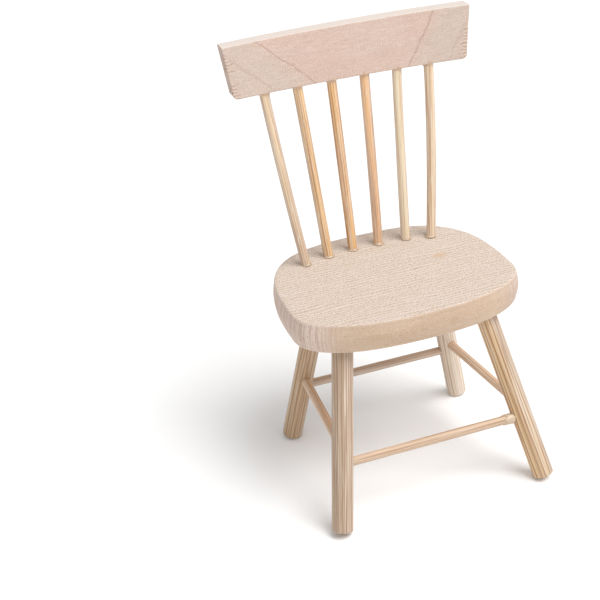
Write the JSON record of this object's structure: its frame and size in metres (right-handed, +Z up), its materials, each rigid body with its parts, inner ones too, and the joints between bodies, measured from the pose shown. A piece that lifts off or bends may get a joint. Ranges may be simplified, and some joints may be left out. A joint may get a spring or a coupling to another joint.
{
  "type": "miniature spindle-back chair",
  "caption": "Doll's-house side chair: rounded thick seat, splayed dowel legs tied by stretchers, fanned back spindles and a bowed crest rail.",
  "frame": {"origin": "on the ground, at the middle of the chair's bounding box seen from above", "axes": "+Z up, the sitter faces -Y, +X is to the right for someone facing the chair"},
  "size_m": [0.0506, 0.0473, 0.0843],
  "materials": {
    "seat_board": "unfinished, fine sanded",
    "crest_rail": "unfinished, fine sanded, saw marks at the ends",
    "leg_dowel": "unfinished turned dowel",
    "pale_stick": "unfinished split-wood stick, slightly polished",
    "warm_stick": "unfinished split-wood stick, slightly polished"
  },
  "bodies": {
    "root": {"seat": "seat_board", "crest_rail": "crest_rail", "spindle_1": "pale_stick", "spindle_2": "warm_stick", "spindle_3": "warm_stick", "spindle_4": "warm_stick", "spindle_5": "pale_stick", "spindle_6": "pale_stick", "leg_front_left": "leg_dowel", "leg_front_right": "leg_dowel", "leg_rear_left": "leg_dowel", "leg_rear_right": "leg_dowel", "stretcher_front": "pale_stick", "stretcher_rear": "pale_stick", "stretcher_left": "warm_stick", "stretcher_right": "warm_stick"}
  },
  "joints": []
}
